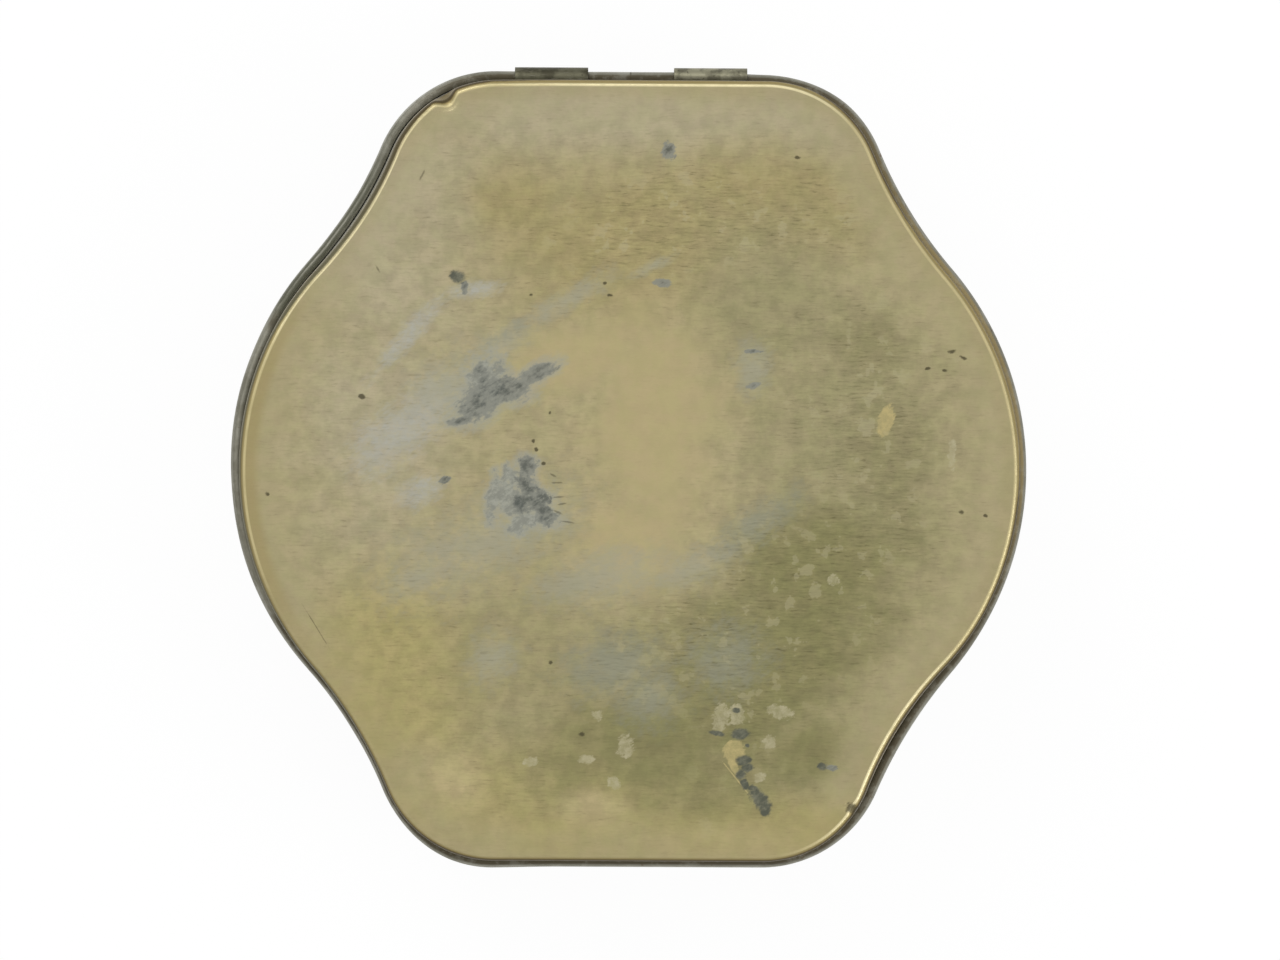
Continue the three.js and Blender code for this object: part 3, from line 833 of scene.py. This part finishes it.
def makeBareTin(name, wallGrimeAndShade, edgeGrimeAndShade, rolledFrom):
    look = bareTin
    material, tree, shader, spot = newMaterial(name)
    across = acrossSection(tree)
    grain = useGrain(tree, spot, look["fineGrain"])
    x, y = put(tree, "SeparateXYZ", {0: spot}).outputs[:2]
    unrolled = put(tree, "CombineXYZ", {"X": x, "Y": y, "Z": across}).outputs[0]
    lines = useGrain(tree, unrolled, look["drawLines"])
    age = useTarnish(tree, spot, *look["age"])
    small = useTarnish(tree, spot, *look["fineAge"])
    cloud = swing(tree, spot, *look["cloud"])
    colour = mixTone(tree, times(tree, age["Stain"], 0.5), look["tin"], look["dull"])
    colour = layer(tree, colour, lines["Streaks"], 0.3, look["dull"])
    colour = layer(tree, colour, lines["Dashes"], 0.5, look["bright"])
    colour = layer(tree, colour, grain["Dashes"], 0.3, look["bright"])
    colour = layer(tree, colour, small["Stain"], 0.14, look["bright"])
    colour = layer(tree, colour, age["Freckles"], 0.55, look["rust"])

    # soldered lap at the middle of the rear
    rear = spread(tree, y, *look["rearFrom"])
    fade = plus(tree, x, times(tree, cloud, 9.0))
    solder = times(tree, spread(tree, fade, *look["solderFade"]), spread(tree, x, *look["solderEnd"]))
    solder = times(tree, solder, times(tree, rear, 0.45))
    colour = mixTone(tree, solder, colour, look["solder"])
    lapEdge = times(tree, rear, band(tree, x, *look["lapEdge"]))
    colour = layer(tree, colour, lapEdge, 0.7, look["grimeAndShade"])

    # grime and painted shade in a strip on the wall beside a seam and in a strip at the band's edge, in the
    # lid's rolled edge its mouth; less where the band is clean and where the leaning skirt leaves the wall
    # open
    clean = placeMask(tree, spot, look["cleanPlaces"], cloud, 1.2, 0.5)
    splayed = placeMask(tree, spot, look["splayedPlaces"], cloud, 0.5, 0.7) if rolledFrom else 0.0
    normal = put(tree, "TexCoord").outputs["Normal"]
    facing = put(tree, "VectorMath", {0: normal, 1: spot}, operation="DOT_PRODUCT").outputs["Value"]
    outside = spread(tree, facing, -2.0, 2.0, 0.2, 1.0)
    low = times(tree, band(tree, across, *wallGrimeAndShade, 0.7), minus(tree, outside, splayed, True))
    rubbed = greater(tree, clean, times(tree, splayed, 0.7))
    edge = times(tree, band(tree, across, *edgeGrimeAndShade, 0.35), spread(tree, rubbed, 0.0, 1.0, 1.0, 0.2))
    uneven = spread(tree, small["Stain"], 0.0, 1.0, 0.95, 0.7)
    grimeAndShade = times(tree, greater(tree, low, edge), uneven)
    warm = times(tree, spread(tree, x, *look["warmFrom"][0]), spread(tree, y, *look["warmFrom"][1]))
    colour = mixTone(tree, grimeAndShade, colour, mixTone(tree, warm, look["grimeAndShade"], look["brown"]))

    # where the lid's skirt leans out: the wall painted lighter, as painted light where it stands open, and a
    # rolled edge scraped into streaks
    if rolledFrom:
        rolled = spread(tree, across, rolledFrom - 0.5, rolledFrom + 0.5)
        leant = times(tree, splayed, spread(tree, rolled, 0.0, 1.0, 0.4, 0.0))
        colour = mixTone(tree, leant, colour, look["bright"])
        scraped = placeMask(tree, spot, look["scrapedPlaces"], cloud, 1.0, 0.5)
        scraped = times(tree, scraped, times(tree, rolled, 0.85))
        streak = spread(tree, lines["Height"], 0.62, 0.95)
        colour = mixTone(tree, scraped, colour, mixTone(tree, streak, look["scraped"], look["tin"]))
    roughness = grainRoughness(tree, grain, *look["roughness"])
    roughness = plus(tree, roughness, times(tree, grimeAndShade, 0.25))
    metallic = minus(tree, look["metallic"], times(tree, greater(tree, grimeAndShade, splayed), 0.5))
    height = minus(tree, times(tree, grain["Height"], 0.4), times(tree, age["Freckles"], 0.3))
    finishShader(tree, shader, colour, roughness, metallic, height, look["bump"])
    return material


# Cleaner tinplate of the collar, rubbed by the lid
collarTin = {
    "tin": tone(182, 180, 168),
    "dull": tone(132, 129, 114),
    "rub": tone(206, 205, 196),
    "grain": (0.05, 0.05, 3.0),
    "rubs": (2.2, 2.2, 0.12),
    "age": (12.0, 0.4),
    "roughness": (0.24, 0.4),
    "metallic": 0.95,
    "bump": 0.12,
}


def makeCollarTin():
    look = collarTin
    material, tree, shader, spot = newMaterial("collar tin")
    grain = useGrain(tree, spot, look["grain"])
    rubs = useGrain(tree, spot, look["rubs"])
    age = useTarnish(tree, spot, *look["age"])
    colour = mixTone(tree, times(tree, age["Stain"], 0.6), look["tin"], look["dull"])
    colour = layer(tree, colour, grain["Streaks"], 0.3, look["dull"])
    colour = layer(tree, colour, rubs["Dashes"], 0.4, look["rub"])
    colour = layer(tree, colour, age["Freckles"], 0.4, look["dull"])
    roughness = grainRoughness(tree, grain, *look["roughness"])
    height = plus(tree, grain["Height"], times(tree, rubs["Height"], 0.4))
    finishShader(tree, shader, colour, roughness, look["metallic"], height, look["bump"])
    return material


# Tarnished strip of the hinges and their rivets, with painted shade on the right loop towards the lid wall
hingeTin = {
    "left": tone(98, 96, 78),        # loops
    "right": tone(150, 147, 124),
    "strip": tone(122, 119, 100),    # rivets and what lies inside
    "worn": tone(176, 172, 156),
    "dark": tone(44, 40, 28),
    "grain": (0.4, 3.0, 3.0),
    "age": (4.0, 0.5),
    "rightFrom": (-5.0, 12.0),
    "loopsFrom": (23.0, 25.0),       # height
    # painted shade on the right hinge's loop, towards the lid wall
    "loopShadeFrom": (74.6, 74.1),       # towards the wall
    "roughness": (0.34, 0.55),
    "metallic": 0.85,
    "bump": 0.2,
}


def makeHingeTin():
    look = hingeTin
    material, tree, shader, spot = newMaterial("hinge tin")
    grain = useGrain(tree, spot, look["grain"])
    age = useTarnish(tree, spot, *look["age"])
    x, y, z = put(tree, "SeparateXYZ", {0: spot}).outputs
    right = spread(tree, x, *look["rightFrom"])
    colour = mixTone(tree, right, look["left"], look["right"])
    colour = mixTone(tree, spread(tree, z, *look["loopsFrom"]), look["strip"], colour)
    # painted shade on the right loop where it turns in towards the lid wall
    under = times(tree, spread(tree, y, *look["loopShadeFrom"], 0.0, 0.4), right)
    colour = mixTone(tree, under, colour, look["dark"])
    colour = layer(tree, colour, age["Stain"], 0.6, look["dark"])
    colour = layer(tree, colour, grain["Dashes"], 0.35, look["worn"])
    colour = layer(tree, colour, age["Freckles"], 0.6, look["dark"])
    roughness = grainRoughness(tree, grain, *look["roughness"])
    finishShader(tree, shader, colour, roughness, look["metallic"], grain["Height"], look["bump"])
    return material


# Drawn wire inside the rolled edge
wireSteel = {
    "steel": tone(128, 127, 120),
    "dark": tone(74, 70, 60),
    "grain": (0.2, 0.2, 5.0),
    "age": (3.0, 0.5),
    "roughness": (0.3, 0.5),
    "metallic": 0.95,
    "bump": 0.15,
}


def makeWireSteel():
    look = wireSteel
    material, tree, shader, spot = newMaterial("wire steel")
    grain = useGrain(tree, spot, look["grain"])
    age = useTarnish(tree, spot, *look["age"])
    colour = mixTone(tree, times(tree, age["Stain"], 0.8), look["steel"], look["dark"])
    roughness = grainRoughness(tree, grain, *look["roughness"])
    finishShader(tree, shader, colour, roughness, look["metallic"], grain["Height"], look["bump"])
    return material


lidLacquer = makeLidLacquer()
plainLacquer = makeInnerLacquer()
lidTin = makeBareTin("lid tin", wallGrimeAndShade=(12.2, 14.4), edgeGrimeAndShade=(17.2, 18.0), rolledFrom=15.0)
bodyTin = makeBareTin("body tin", wallGrimeAndShade=(22.0, 27.0), edgeGrimeAndShade=(-0.5, 0.2), rolledFrom=None)
collarMetal = makeCollarTin()
hingeMetal = makeHingeTin()
wireMetal = makeWireSteel()
print("materials:", len(bpy.data.materials))


# Lid plate and base plate: a flat panel, a low bead round it and an edge folded over the wall
plate = {
    "lidSink": 0.03 * mm,      # panel below the bead's crest
    "baseSink": 0.25 * mm,
    "rise": 1.6 * mm,          # width of the bead's inner slope
    "margin": 1.2 * mm,        # flat strip inside the slope
    "marginSteps": 2,
    "slopeSteps": 6,
    "rings": 30,
    "foldSteps": 14,
    "lapSteps": 4,
    "levelSlack": 0.01 * mm,
    "wave": 0.2 * mm,          # depth of the panel's hollows
    "waveLength": 34 * mm,
    "waveStart": 3,            # millimetres in from the crest where they begin
    "waveFade": 16,            # and over which they reach full depth
}


def plateSection(level, up, sink):
    # up is 1 for a plate that faces upwards and -1 for one that faces down
    half = plate["rise"] / 2
    lift = sink / 2
    bend = (half * half + lift * lift) / (2 * lift)
    angle = math.degrees(2 * math.atan(lift / half))
    panel = level - up * sink
    foot = -wallFold - plate["rise"]
    bm = startLine(foot - plate["margin"], panel)
    runTo(bm, foot, panel, plate["marginSteps"])
    turnAbout(bm, foot, panel + up * bend, up * angle, plate["slopeSteps"])
    turnAbout(bm, -wallFold, level - up * bend, -up * angle, plate["slopeSteps"])
    crest = len(bm.verts) - 1
    turnAbout(bm, -wallFold, level - up * plateFold, -up * 90, plate["foldSteps"])
    runTo(bm, plateFold - wallFold, level - up * (plateFold + sheet["lap"]), plate["lapSteps"])
    measureLine(bm, crest)
    return bm


def fillPanel(bm, panel):
    # rings of quads from the bead in to the middle
    across = bm.verts.layers.float["across"]
    ring = [edge for edge in bm.edges
            if edge.is_boundary and abs(edge.verts[0].co.z - panel) < plate["levelSlack"]]
    for step in range(plate["rings"]):
        left = plate["rings"] - step
        ratio = (left - 1) / left
        made = bmesh.ops.extrude_edge_only(bm, edges=ring)["geom"]
        verts = [item for item in made if isinstance(item, bmesh.types.BMVert)]
        ring = [item for item in made if isinstance(item, bmesh.types.BMEdge) and item.is_boundary]
        for vert in verts:
            vert[across] -= vert.co.xy.length * (1 - ratio) / mm
        bmesh.ops.scale(bm, vec=(ratio, ratio, 1), verts=verts)
    bmesh.ops.pointmerge(bm, verts=verts, merge_co=(0, 0, panel))


def wavePanel(bm, up):
    # slight hollows, never proud of the bead
    across = bm.verts.layers.float["across"]
    for vert in bm.verts:
        share = min(1, max(0, -vert[across] - plate["waveStart"]) / plate["waveFade"])
        hollow = (1 + noise.noise(vert.co / plate["waveLength"])) / 2
        vert.co.z -= up * plate["wave"] * hollow * share * share * (3 - 2 * share)


def makePlate(level, up, sink):
    bm = plateSection(level, up, sink)
    carryRound(bm)
    panel = level - up * sink
    fillPanel(bm, panel)
    wavePanel(bm, up)
    faceOutwards(bm, (0, 0, panel), (0, 0, up))
    return bm


lidPlate = makePlate(lidTop, 1, plate["lidSink"])
knockLid(lidPlate)
addPiece("lidPlate", lidPlate, "lid", ["lid_plate"], [lidLacquer, plainLacquer],
         sheet["thickness"], 1)
basePlate = makePlate(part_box("base_plate")[0].z, -1, plate["baseSink"])
addPiece("basePlate", basePlate, "body", ["base_plate"], [plainLacquer], sheet["thickness"])


# Hinge straps: riveted low down between wall and collar, looped over the rolled edge
strap = {
    "width": 13.8 * mm,
    "sheet": 0.5 * mm,
    "drop": 11 * mm,           # from the pin down to the strap's foot
    "loopGap": 0.3 * mm,
    "loopMouth": 0.4 * mm,
    "slotGap": 0.35 * mm,
    "windowDepth": 5 * mm,     # of the box cut out of a wall, inwards and outwards
    "windowProud": 0.5 * mm,
    "dropSteps": 12,
    "widthSteps": 14,
    "loopSteps": 40,
}
loopInside = rollOutside + strap["loopGap"]
loopOutside = loopInside + strap["sheet"]
loopTurn = 180 + math.degrees(math.acos((strap["loopMouth"] - loopInside) / loopOutside))
strapInset = rollInside - loopOutside


def strapSpan(side):
    low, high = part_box("hinge_strap_" + side)
    return low.x, high.x


def strapOpening(side, low, high):
    # the box through which a strap leaves a band
    start, end = strapSpan(side)
    margin = strap["slotGap"]
    return (Vector((start - margin, rearWall - strap["windowDepth"], low)),
            Vector((end + margin, rearWall + strap["windowProud"], high)))


def makeStrap(side):
    start, end = strapSpan(side)
    bm = startLine(strapInset, pinHeight - strap["drop"])
    runTo(bm, strapInset, pinHeight, strap["dropSteps"])
    turnAbout(bm, rollInside, pinHeight, -loopTurn, strap["loopSteps"])
    measureLine(bm)
    bmesh.ops.translate(bm, vec=(start, 0, 0), verts=bm.verts)
    stride = Vector(((end - start) / strap["widthSteps"], 0, 0))
    bmesh.ops.spin(bm, geom=bm.verts[:] + bm.edges[:], cent=(0, 0, 0), axis=(0, 0, 1), dvec=stride, angle=0,
                   steps=strap["widthSteps"])
    faceOutwards(bm, ((start + end) / 2, rearWall + rollInside, pinHeight + loopOutside), (0, 0, 1))
    return bm


# Lid band: turned in under the plate, straight down, then rolled outwards over the wire
lidBand = {"wallSteps": 22, "foldSteps": 8, "windowRise": 2.35 * mm, "probe": 4 * mm}


def makeLidBand():
    flangeTop = lidTop - sheet["thickness"] - sheet["gap"]
    bm = startLine(-wallFold - sheet["flange"], flangeTop)
    runTo(bm, -wallFold, flangeTop, sheet["flangeSteps"])
    turnAbout(bm, -wallFold, flangeTop - wallFold, -90, lidBand["foldSteps"])
    runTo(bm, 0, pinHeight, lidBand["wallSteps"])
    turnAbout(bm, rollInside, pinHeight, rollTurn, roll["turnSteps"])
    measureLine(bm)
    carryRound(bm)
    for side in ("left", "right"):
        cutOpening(bm, *strapOpening(side, pinHeight, pinHeight + lidBand["windowRise"]))
    raiseLap(bm, (pinHeight + rollOutside, lidTop - plateFold - sheet["lap"]))
    faceOutwards(bm, (lidBand["probe"], rearWall, (lidTop + pinHeight) / 2), (0, 1, 0))
    knockLid(bm)
    return bm


# Body band: plain wall, turned in over the base plate's edge
bodyBand = {"wallSteps": 26, "foldSteps": 8, "notch": 0.85 * mm, "probe": 4 * mm}


def makeBodyBand():
    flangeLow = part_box("base_plate")[0].z + sheet["thickness"] + sheet["gap"]
    bm = startLine(0, bodyTop)
    runTo(bm, 0, flangeLow + wallFold, bodyBand["wallSteps"])
    turnAbout(bm, -wallFold, flangeLow + wallFold, -90, bodyBand["foldSteps"])
    runTo(bm, -wallFold - sheet["flange"], flangeLow, sheet["flangeSteps"])
    measureLine(bm)
    carryRound(bm)
    for side in ("left", "right"):
        cutOpening(bm, *strapOpening(side, bodyTop - bodyBand["notch"], bodyTop + mm))
    # beaten flat where the edge of the open lid strikes it
    struckLow = 2 * pinHeight - lidTop
    struckHigh = struckLow + plateFold + sheet["lap"]
    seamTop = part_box("base_plate")[0].z + plateFold + sheet["lap"]
    raiseLap(bm, (seamTop, struckLow), (struckHigh, lidTop))
    faceOutwards(bm, (bodyBand["probe"], rearWall, bodyTop / 2), (0, 1, 0))
    return bm


# Collar: its foot lies against the wall, and it steps in to leave room for straps and lid
collar = {
    "footInset": 0.5 * mm,
    "inset": 1.3 * mm,
    "foot": 4 * mm,
    "step": 1.6 * mm,
    "footSteps": 4,
    "wallSteps": 18,
}


def makeCollar():
    low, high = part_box("inner_collar")
    bm = startLine(-collar["footInset"], low.z)
    runTo(bm, -collar["footInset"], low.z + collar["foot"], collar["footSteps"])
    runTo(bm, -collar["inset"], low.z + collar["foot"] + collar["step"], collar["footSteps"])
    runTo(bm, -collar["inset"], high.z, collar["wallSteps"])
    measureLine(bm)
    carryRound(bm)
    faceOutwards(bm, (0, rearWall, high.z), (0, 1, 0))
    return bm


def makeRimWire():
    bm = bmesh.new()
    bm.verts.layers.float.new("across")
    upright = Matrix.Translation((0, rearWall + rollInside, pinHeight)) @ Matrix.Rotation(math.pi / 2, 4, "Y")
    bmesh.ops.create_circle(bm, radius=roll["wire"] / 2, segments=roll["wireSides"], matrix=upright)
    carryRound(bm)
    bmesh.ops.recalc_face_normals(bm, faces=bm.faces)
    knockLid(bm)
    return bm


# Rivets: a round head outside the wall, a flattened tail inside the collar
rivet = {
    "head": 3.2 * mm,
    "headHeight": 0.6 * mm,
    "shank": 1.6 * mm,
    "tail": 2.6 * mm,
    "tailShoulder": 0.9,       # shares of the tail's width where it rounds off
    "tailFlat": 0.6,
    "shoulderHeight": 0.2 * mm,
    "domeSteps": 7,
    "sides": 28,
}


def makeRivet(node):
    low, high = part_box(node)
    axisX = (low.x + high.x) / 2
    axisZ = (low.z + high.z) / 2
    headFace = high.y - rivet["headHeight"]
    half = rivet["head"] / 2
    dome = (half * half + rivet["headHeight"] ** 2) / (2 * rivet["headHeight"])
    bm = bmesh.new()
    bm.verts.layers.float.new("across")
    top = bm.verts.new((axisX, high.y, axisZ))
    bmesh.ops.spin(bm, geom=[top], cent=(axisX, high.y - dome, axisZ), axis=(0, 0, 1),
                   angle=-math.asin(half / dome), steps=rivet["domeSteps"])
    tailFace = low.y + rivet["headHeight"]
    corners = (
        (rivet["shank"] / 2, headFace),
        (rivet["shank"] / 2, tailFace),
        (rivet["tail"] / 2, tailFace),
        (rivet["tail"] / 2 * rivet["tailShoulder"], low.y + rivet["shoulderHeight"]),
        (rivet["tail"] / 2 * rivet["tailFlat"], low.y),
        (0, low.y),
    )
    for radius, y in corners:
        last = lineEnd(bm)
        stride = Vector((axisX + radius, y, axisZ)) - last.co
        bmesh.ops.spin(bm, geom=[last], cent=(0, 0, 0), axis=(1, 0, 0), dvec=stride, angle=0, steps=1)
    bmesh.ops.spin(bm, geom=bm.verts[:] + bm.edges[:], cent=(axisX, 0, axisZ), axis=(0, 1, 0),
                   angle=2 * math.pi, steps=rivet["sides"], use_merge=True)
    bmesh.ops.remove_doubles(bm, verts=bm.verts, dist=joinDistance)
    bmesh.ops.recalc_face_normals(bm, faces=bm.faces)
    return bm


addPiece("lidBand", makeLidBand(), "lid", ["lid_band"], [lidTin], sheet["thickness"])
addPiece("lidRimWire", makeRimWire(), "lid", ["lid_rim_wire"], [wireMetal])
addPiece("bodyBand", makeBodyBand(), "body", ["body_band"], [bodyTin], sheet["thickness"])
addPiece("innerCollar", makeCollar(), "body", ["inner_collar"], [collarMetal],
         sheet["thickness"])
for side in ("left", "right"):
    node = "hinge_strap_" + side
    addPiece("hingeStrap." + side, makeStrap(side), "body", [node], [hingeMetal], strap["sheet"])
    for place in ("outer", "inner"):
        node = "hinge_rivet_" + side + "_" + place
        name = "hingeRivet." + side + "." + place
        addPiece(name, makeRivet(node), "body", [node], [hingeMetal])


# Floor, light and camera
stage = {
    "floorSize": 8.0,
    "floorCells": 4,
    "floorColour": (0.9, 0.9, 0.9, 1.0),
    "white": 0.95,             # share of plain white in what the camera sees of the floor
}


def makeFloor():
    bm = bmesh.new()
    bmesh.ops.create_grid(bm, x_segments=stage["floorCells"], y_segments=stage["floorCells"],
                          size=stage["floorSize"] / 2)
    mesh = bpy.data.meshes.new("floor")
    bm.to_mesh(mesh)
    bm.free()
    floor = bpy.data.objects.new("floor", mesh)
    scene.collection.objects.link(floor)
    material = bpy.data.materials.new("floor paper")
    material.use_nodes = True
    tree = material.node_tree
    tree.nodes.clear()
    paper = put(tree, "BsdfDiffuse", {"Color": stage["floorColour"]})
    white = put(tree, "Emission", {"Color": (1, 1, 1, 1), "Strength": 1.0})
    ray = put(tree, "LightPath").outputs
    seen = greater(tree, ray["Is Camera Ray"], ray["Is Glossy Ray"])
    seen = greater(tree, seen, ray["Is Transmission Ray"])
    share = times(tree, seen, stage["white"])
    mixed = put(tree, "MixShader", {0: share, 1: paper.outputs[0], 2: white.outputs[0]})
    output = put(tree, "OutputMaterial")
    tree.links.new(mixed.outputs[0], output.inputs["Surface"])
    mesh.materials.append(material)


# Soft room: dim near the horizon, brightest half way up, a little less overhead
room = {
    "strength": 0.82,
    "steps": ((0.0, 0.5), (0.3, 0.55), (0.5, 1.15), (0.85, 1.15), (1.0, 0.9)),
    "lamps": (
        {"name": "rearSoftbox", "at": (-0.55, 0.9, 1.0), "size": 0.8, "power": 7.0},
        {"name": "rightSoftbox", "at": (1.0, -0.35, 0.9), "size": 0.7, "power": 5.0},
    ),
}


def makeRoom():
    world = bpy.data.worlds.new("room")
    world.use_nodes = True
    scene.world = world
    tree = world.node_tree
    tree.nodes.clear()
    way = put(tree, "TexCoord").outputs["Generated"]
    up = put(tree, "SeparateXYZ", {0: way}).outputs["Z"]
    shade = put(tree, "ValToRGB", {"Fac": up})
    ramp = shade.color_ramp
    ramp.interpolation = "EASE"
    while len(ramp.elements) < len(room["steps"]):
        ramp.elements.new(0.5)
    for element, (place, level) in zip(ramp.elements, room["steps"]):
        element.position = place
        element.color = (level, level, level, 1)
    sky = put(tree, "Background", {"Color": shade.outputs["Color"], "Strength": room["strength"]})
    output = put(tree, "OutputWorld")
    tree.links.new(sky.outputs[0], output.inputs["Surface"])
    for lamp in room["lamps"]:
        light = bpy.data.lights.new(lamp["name"], "AREA")
        light.size = lamp["size"]
        light.energy = lamp["power"]
        holder = bpy.data.objects.new(lamp["name"], light)
        holder.location = lamp["at"]
        holder.rotation_euler = (-Vector(lamp["at"])).to_track_quat("-Z", "Y").to_euler()
        holder.visible_camera = False
        scene.collection.objects.link(holder)


# Camera high above, a little towards the rear, as the photograph was taken
view = {
    "frameWidth": 241.5 * mm,
    "aim": (2.1 * mm, -1.95 * mm, 28.5 * mm),
    "lens": 600,
    "sensor": 36,
    "farEnd": 20,
    "towardsRear": 1.1,        # degrees off the vertical
    "towardsLeft": 0.8,
    "roll": 0.3,
}


def makeCamera():
    camera = bpy.data.cameras.new("camera")
    camera.lens = view["lens"]
    camera.sensor_width = view["sensor"]
    distance = view["frameWidth"] * camera.lens / camera.sensor_width
    left = math.tan(math.radians(view["towardsLeft"]))
    rear = math.tan(math.radians(view["towardsRear"]))
    back = Vector((-left, rear, 1))
    holder = bpy.data.objects.new("camera", camera)
    holder.location = Vector(view["aim"]) + back.normalized() * distance
    side = Vector((math.cos(math.radians(view["roll"])), math.sin(math.radians(view["roll"])), 0))
    backward = back.normalized()
    up = backward.cross(side).normalized()
    side = up.cross(backward)
    holder.rotation_euler = Matrix((side, up, backward)).transposed().to_euler()
    camera.clip_end = view["farEnd"]
    scene.collection.objects.link(holder)
    scene.camera = holder


makeFloor()
makeRoom()
makeCamera()
print("stage, room and camera are set")
